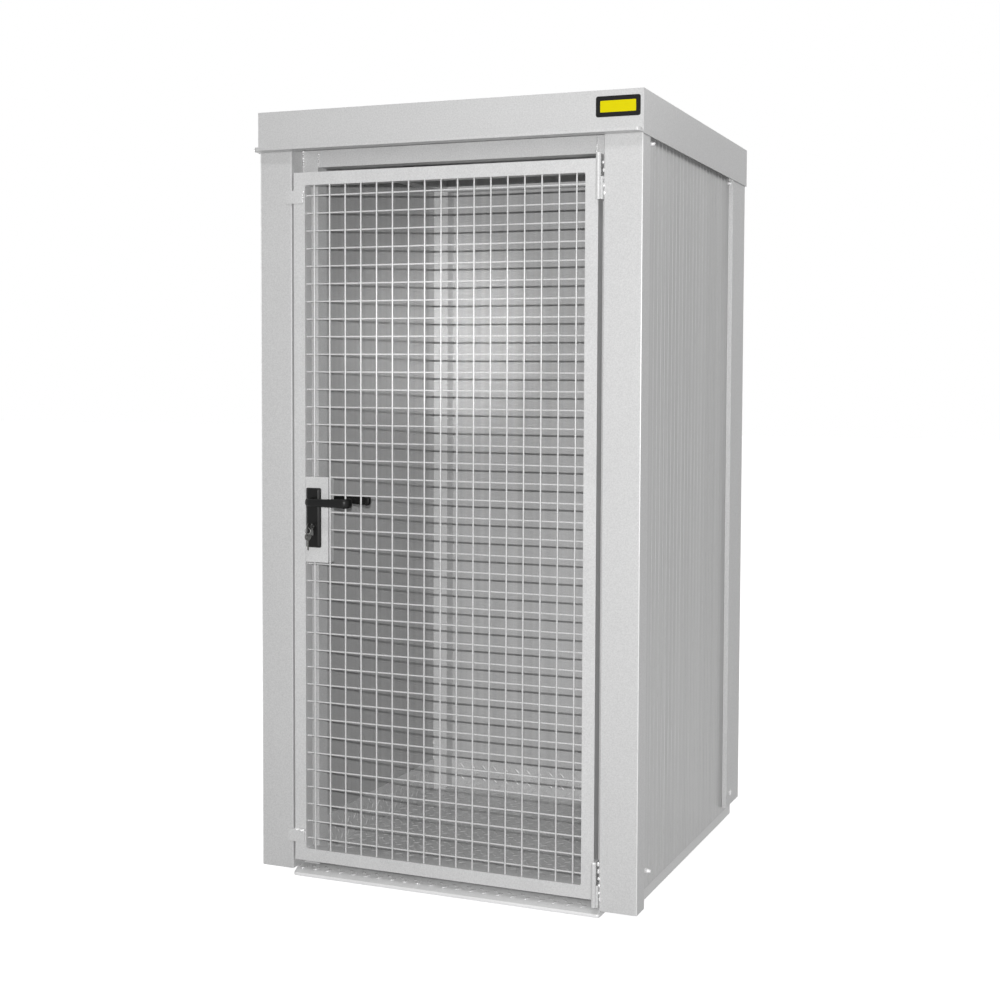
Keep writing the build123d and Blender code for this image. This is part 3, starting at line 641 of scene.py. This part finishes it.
# marks lie along the path: two for the collar, two for the neck, three for the bar and one for the tip;
# endMarks lie back from its end, where the tip rounds off to the shares in endDeep and endTall
lever = {"neckOut": 47.0, "reach": 129.0, "back": 24.0, "bend": 15.0, "height": 1090.0, "sunk": 8.0,
         "collarRadius": 14.5, "collarLength": 9.0, "collarEase": 1.5, "neckRadius": 11.0, "neckMark": 16.0,
         "barDeep": 6.6, "barTall": 10.8, "barEndTall": 11.6, "tipDeep": 7.0, "tipTall": 13.6, "tipMark": 4.0,
         "marks": (0, 7.0, 8.5, 20, 45, 70, 125, 150), "endMarks": (3.0, 0.8, 0.0),
         "endDeep": (1.0, 0.8, 0.5), "endTall": (1.0, 0.85, 0.55), "steps": 9, "sides": 24, "squareness": 0.8}
innerLever = dict(lever, neckOut=53.0, reach=132.0, barDeep=8.0, tipDeep=9.0)


def leverShape(faceY, outward, setup):
    # a planar path out, across and back; the section is an ellipse whose two half axes change along it
    corner, steps, endMarks = setup["bend"], setup["steps"], np.array(setup["endMarks"])
    turn = np.linspace(0, np.pi / 2, steps)[1:-1]
    out, reach, collarEnd = setup["neckOut"], setup["reach"], setup["collarLength"]
    neckMarks = np.array([0, collarEnd, collarEnd + setup["collarEase"], setup["neckMark"], out - corner])
    tipMarks = np.concatenate([[0, setup["tipMark"]], setup["back"] - corner - endMarks])
    neck = np.stack([np.zeros(len(neckMarks)), neckMarks], -1)
    firstBend = np.stack([corner - corner * np.cos(turn), out - corner + corner * np.sin(turn)], -1)
    bar = np.stack([np.linspace(corner, reach - corner, steps), np.full(steps, out)], -1)
    lastBend = np.stack([reach - corner + corner * np.sin(turn), out - corner + corner * np.cos(turn)], -1)
    tip = np.stack([np.full(len(tipMarks), reach), out - corner - tipMarks], -1)
    path = np.concatenate([neck, firstBend, bar, lastBend, tip])
    step = np.gradient(path, axis=0)
    step /= np.linalg.norm(step, axis=1, keepdims=True)
    sideWay = np.stack([step[:, 1], -step[:, 0]], -1)
    along = np.concatenate([[0], np.cumsum(np.linalg.norm(np.diff(path, axis=0), axis=1))])
    marks = np.concatenate([setup["marks"], along[-1] - endMarks])
    root = [setup["collarRadius"]] * 2 + [setup["neckRadius"]] * 2
    deep = np.interp(along, marks, root + [setup["barDeep"]] * 3 + [setup["tipDeep"]]
                     + [setup["tipDeep"] * share for share in setup["endDeep"]])
    tall = np.interp(along, marks, root + [setup["barTall"]] * 2 + [setup["barEndTall"], setup["tipTall"]]
                     + [setup["tipTall"] * share for share in setup["endTall"]])
    angle = fullTurn(setup["sides"])
    across = np.sign(np.cos(angle)) * np.abs(np.cos(angle)) ** setup["squareness"]
    upward = np.sign(np.sin(angle)) * np.abs(np.sin(angle)) ** setup["squareness"]
    x = plateX + path[:, 0:1] + deep[:, None] * across * sideWay[:, 0:1]
    y = faceY + outward * (path[:, 1:2] + deep[:, None] * across * sideWay[:, 1:2])
    z = setup["height"] + tall[:, None] * upward
    return ringSurface(np.stack([x, y, z], -1))


addPiece("outerHandle", leverShape(platesLow[1] + lever["sunk"], -1, lever), "blackNylon", "handle",
         ("outer_lever",), 50.0)
addPiece("innerHandle", leverShape(platesHigh[1] - innerLever["sunk"], 1, innerLever), "blackNylon", "handle",
         ("inner_lever",), 50.0)
print("handles done")


# turned key in the lock, with a spare one on the ring through its bow
keySet = {"bowCentre": -572.5, "bowRadius": 12.5, "holeOffset": 7.0, "holeRadius": 2.6, "thick": 2.2,
          "sides": 28, "blade": 8.0, "bladeFrom": 10.0, "bladeShare": 0.98,
          "ringRadius": 8.5, "ringWire": 0.9}
spareSet = {"bow": 11.0, "bowFrom": -70, "bowTo": 250, "bowSteps": 22, "blade": 5.5, "stretch": 1.1,
            "hang": 3.0, "thick": 2.2, "turn": 24.0,
            "down": (10.5, 12.5, 14.5, 16.5, 18.5, 20.5, 22.5, 24.5, 26.5, 29, 31.5, 34.5),
            "notch": (0, 0.9, 0.2, 1.3, 0.4, 1.1, 0.1, 1.4, 0.5, 0.9, 0.6, 2.2)}
keyLow, keyHigh = nodeBox("key")
keyZ = (keyLow[2] + keyHigh[2]) / 2
keyFar = keyHigh[1]


def turnedKeyShape(setup):
    # a round bow pierced near its outer end, and a flat blade that goes into the plug
    angle = fullTurn(setup["sides"])
    outer = np.stack([setup["bowCentre"] + setup["bowRadius"] * np.cos(angle),
                      keyZ + setup["bowRadius"] * np.sin(angle)], -1)
    inner = np.stack([setup["bowCentre"] - setup["holeOffset"] + setup["holeRadius"] * np.cos(angle),
                      keyZ + setup["holeRadius"] * np.sin(angle)], -1)
    half = setup["thick"] / 2
    rings = [np.stack([np.full(setup["sides"], x), flat[:, 0], flat[:, 1]], -1)
             for flat, x in ((outer, plateX - half), (outer, plateX + half), (inner, plateX + half),
                             (inner, plateX - half))]
    y0, y1 = setup["bowCentre"] + setup["bladeFrom"], keyFar
    z0, z1 = keyZ - setup["blade"] / 2, keyZ + setup["blade"] / 2
    thin = half * setup["bladeShare"]
    corners = [(y0, z0), (y1, z0), (y1, z1), (y0, z1)]
    blade = ringSurface(np.stack([[(x, y, z) for y, z in corners] for x in (plateX - thin, plateX + thin)]))
    return join(loopSurface(np.stack(rings)), blade)


def ringShape(centre, radius, wire, steps=40, sides=8):
    # a closed torus in the XZ plane
    around = fullTurn(steps)[:, None]
    section = fullTurn(sides)
    reach = radius + wire * np.cos(section)
    points = np.stack([centre[0] + reach * np.cos(around), centre[1] + wire * np.sin(section) + 0 * around,
                       centre[2] + reach * np.sin(around)], -1)
    return loopSurface(points)


def spareKeyShape(top, setup):
    # an outline of bow and notched blade, given a thickness and hung below the ring
    angle = np.linspace(math.radians(setup["bowFrom"]), math.radians(setup["bowTo"]), setup["bowSteps"])
    bow = np.stack([setup["bow"] * np.cos(angle), setup["bow"] * np.sin(angle)], -1)
    down = -np.array(setup["down"]) * setup["stretch"]
    leftSide = np.stack([-setup["blade"] / 2 + np.array(setup["notch"]), down], -1)
    rightSide = np.stack([np.full(3, setup["blade"] / 2), down[[-1, 5, 0]]], -1)
    outline = np.concatenate([bow, leftSide, rightSide])
    outline[:, 1] -= setup["bow"] - setup["hang"]
    turn = math.radians(90.0 - setup["turn"])
    wide, thin = np.array([math.cos(turn), math.sin(turn), 0]), np.array([-math.sin(turn), math.cos(turn), 0])
    flat = top + outline[:, 0:1] * wide + outline[:, 1:2] * np.array([0, 0, 1.0])
    return ringSurface(np.stack([flat - thin * setup["thick"] / 2, flat + thin * setup["thick"] / 2]))


ringCentre = np.array([plateX, keySet["bowCentre"] - keySet["holeOffset"],
                       keyZ - keySet["holeRadius"] + keySet["ringWire"] - keySet["ringRadius"]])
addPiece("turnedKey", turnedKeyShape(keySet), "darkNickel", "key", ("key",), 30.0)
addPiece("keyRing", ringShape(ringCentre, keySet["ringRadius"], keySet["ringWire"]), "platedBrass", "key")
addPiece("spareKey", spareKeyShape(ringCentre - (0, 0, keySet["ringRadius"]), spareSet), "platedBrass", "key",
         (), 30.0)
print("keys done")


# blank plate on the front of the roof
blankPlate = {"left": 444.0, "right": 566.0, "bottom": 2125.0, "top": 2179.0, "corner": 6.0, "thick": 1.0,
              "inset": 12.0, "fieldCorner": 2.0, "fieldThick": 0.3}


def flatPlateShape(left, right, bottom, top, corner, nearY, farY):
    # a rounded outline from the face behind it to its own front
    flat = roundedOutline(right - left, top - bottom, corner)
    return ringSurface(np.stack([standUp(flat, (left + right) / 2, (bottom + top) / 2, y)
                                 for y in (farY, nearY)]))


fasciaFace = nodeBox("roof_sheet")[0][1]
plateFront = fasciaFace - blankPlate["thick"]
addPiece("blankPlate", flatPlateShape(blankPlate["left"], blankPlate["right"], blankPlate["bottom"],
                                      blankPlate["top"], blankPlate["corner"], plateFront, fasciaFace),
         "blackEnamel", "container")
inset = blankPlate["inset"]
addPiece("plateField", flatPlateShape(blankPlate["left"] + inset, blankPlate["right"] - inset,
                                      blankPlate["bottom"] + inset, blankPlate["top"] - inset,
                                      blankPlate["fieldCorner"], plateFront - blankPlate["fieldThick"],
                                      plateFront),
         "yellowEnamel", "container")


# small weld fillets in the corners of the door's opening
fillet = {"size": 5.0, "depth": 20.0, "setIn": 0.4, "sunk": 1.0, "steps": 7}


def cornerFillet(corner, signX, signZ, setup):
    # a concave quarter, closed against the two tubes it joins
    size, sunk = setup["size"], setup["sunk"]
    angle = np.linspace(0, np.pi / 2, setup["steps"])
    arc = np.stack([size - size * np.sin(angle), size - size * np.cos(angle)], -1)
    outline = np.concatenate([arc, [[-sunk, -sunk]]]) * (signX, signZ)
    return ringSurface(np.stack([standUp(outline, corner[0], corner[2], y)
                                 for y in (corner[1], corner[1] + setup["depth"])]))


filletFront = nodeBox("door_left_stile")[0][1] + fillet["setIn"]
fillets = join(*[cornerFillet((x, filletFront, z), signX, signZ, fillet)
                 for x, signX in ((wiresLow[0], 1), (wiresHigh[0], -1))
                 for z, signZ in ((wiresLow[2], 1), (wiresHigh[2], -1))])
addPiece("doorFillets", fillets, "zincTube", "door")
print("trim done")


# camera, worked out from the corners of the body in the photograph
cameraSetup = {
    "place": (1.836, -4.5425, 1.471),   # metres, row frame
    "turnLeft": 22.57,                  # degrees towards -X
    "lookDown": 2.93,
    "roll": 0.22,
    "lens": 57.66,
    "sensor": 36.0,
    "shiftY": -0.05,
}


def makeCamera(setup):
    # a camera at its place, turned about Z, then tilted down, then rolled
    cameraData = bpy.data.cameras.new("photoCamera")
    cameraData.lens = setup["lens"]
    cameraData.sensor_width = setup["sensor"]
    cameraData.shift_y = setup["shiftY"]
    camera = bpy.data.objects.new("photoCamera", cameraData)
    turn = Matrix.Rotation(math.radians(setup["turnLeft"]), 4, "Z")
    tilt = Matrix.Rotation(math.radians(90.0 - setup["lookDown"]), 4, "X")
    roll = Matrix.Rotation(math.radians(setup["roll"]), 4, "Z")
    camera.matrix_world = Matrix.Translation(setup["place"]) @ turn @ tilt @ roll
    bpy.context.scene.collection.objects.link(camera)
    bpy.context.scene.camera = camera


makeCamera(cameraSetup)

# lamps: a small flash just above the lens, and soft ones above, beside and behind
flashPlace = (1.836, -4.5425, 1.566)
lamps = {
    "flashLamp": {"place": flashPlace, "target": (0.0, -0.2, 1.1), "size": (0.008, 0.008), "power": 132,
                  "bounces": 1},
    "topLamp": {"place": (1.0, -3.4, 4.9), "target": (0.0, -0.2, 1.2), "size": (1.6, 0.8), "power": 34,
                "bounces": 2},
    "sideLamp": {"place": (2.4, 2.1, 3.0), "target": (0.55, 0.2, 1.2), "size": (1.2, 1.2), "power": 18,
                 "bounces": 2},
    "backLamp": {"place": (-4.0, 3.2, 3.0), "target": (-0.3, 0.3, 1.1), "size": (2.0, 2.0), "power": 170,
                 "bounces": 2},
}
# a soft spot that stands in for the flash coming back from the corner of the walls
cornerSpot = {"place": flashPlace, "target": (-0.45, 0.45, 1.59), "cone": 8.6, "blend": 1.0, "soft": 0.004,
              "power": 300, "bounces": 1}


def placeLamp(name, lampData, setup):
    # a lamp shines along its own -Z, so that axis is turned towards the target
    lampData.energy = setup["power"]
    lampData.cycles.max_bounces = setup["bounces"]
    lamp = bpy.data.objects.new(name, lampData)
    lamp.location = setup["place"]
    aim = Vector(setup["target"]) - Vector(setup["place"])
    lamp.rotation_euler = aim.to_track_quat("-Z", "Y").to_euler()
    bpy.context.scene.collection.objects.link(lamp)


for lampName, lampSetup in lamps.items():
    areaData = bpy.data.lights.new(lampName, "AREA")
    areaData.shape = "RECTANGLE"
    areaData.size, areaData.size_y = lampSetup["size"]
    placeLamp(lampName, areaData, lampSetup)
spotData = bpy.data.lights.new("cornerSpot", "SPOT")
spotData.spot_size = math.radians(cornerSpot["cone"])
spotData.spot_blend = cornerSpot["blend"]
spotData.shadow_soft_size = cornerSpot["soft"]
placeLamp("cornerSpot", spotData, cornerSpot)

# white ground and background, and a fill from the world
studio = {"fill": 0.11, "floorTone": 0.3, "floorRoughness": 0.9, "floorGlow": 0.95, "floorSize": 60.0,
          "floorDrop": 0.001}


def seenDirectly(tree):
    # 1 for a ray from the camera, off a gloss or through glass, so that each shows the white background
    path = tree.nodes.new("ShaderNodeLightPath")
    either = linkValue(tree, "MAXIMUM", path.outputs["Is Camera Ray"], path.outputs["Is Glossy Ray"])
    return linkValue(tree, "MAXIMUM", either, path.outputs["Is Transmission Ray"])


world = bpy.data.worlds.new("studioWorld")
bpy.context.scene.world = world
world.use_nodes = True
worldTree = world.node_tree
fill = worldTree.nodes["Background"]
fill.inputs["Color"].default_value = (1.0, 1.0, 1.0, 1.0)
fill.inputs["Strength"].default_value = studio["fill"]
white = worldTree.nodes.new("ShaderNodeBackground")
white.inputs["Color"].default_value = (1.0, 1.0, 1.0, 1.0)
white.inputs["Strength"].default_value = 1.0
worldMix = worldTree.nodes.new("ShaderNodeMixShader")
worldTree.links.new(seenDirectly(worldTree), worldMix.inputs[0])
worldTree.links.new(fill.outputs[0], worldMix.inputs[1])
worldTree.links.new(white.outputs[0], worldMix.inputs[2])
worldTree.links.new(worldMix.outputs[0], worldTree.nodes["World Output"].inputs["Surface"])

floorMaterial = bpy.data.materials.new("studioFloor")
floorMaterial.use_nodes = True
floorTree = floorMaterial.node_tree
floorShader = floorTree.nodes["Principled BSDF"]
floorShader.inputs["Base Color"].default_value = (*[studio["floorTone"]] * 3, 1.0)
floorShader.inputs["Roughness"].default_value = studio["floorRoughness"]
glow = floorTree.nodes.new("ShaderNodeEmission")
floorTree.links.new(linkValue(floorTree, "MULTIPLY", seenDirectly(floorTree), studio["floorGlow"]),
                    glow.inputs["Strength"])
floorSum = floorTree.nodes.new("ShaderNodeAddShader")
floorTree.links.new(floorShader.outputs[0], floorSum.inputs[0])
floorTree.links.new(glow.outputs[0], floorSum.inputs[1])
floorTree.links.new(floorSum.outputs[0], floorTree.nodes["Material Output"].inputs["Surface"])
half, floorZ = studio["floorSize"] / 2, -studio["floorDrop"]
floorMesh = bpy.data.meshes.new("studioFloor")
floorMesh.from_pydata([(-half, -half, floorZ), (half, -half, floorZ),
                       (half, half, floorZ), (-half, half, floorZ)],
                      [], [(0, 1, 2, 3)])
floorMesh.materials.append(floorMaterial)
studioFloor = bpy.data.objects.new("studioFloor", floorMesh)
bpy.context.scene.collection.objects.link(studioFloor)
bpy.context.scene.view_settings.view_transform = "Standard"
print("stage done")
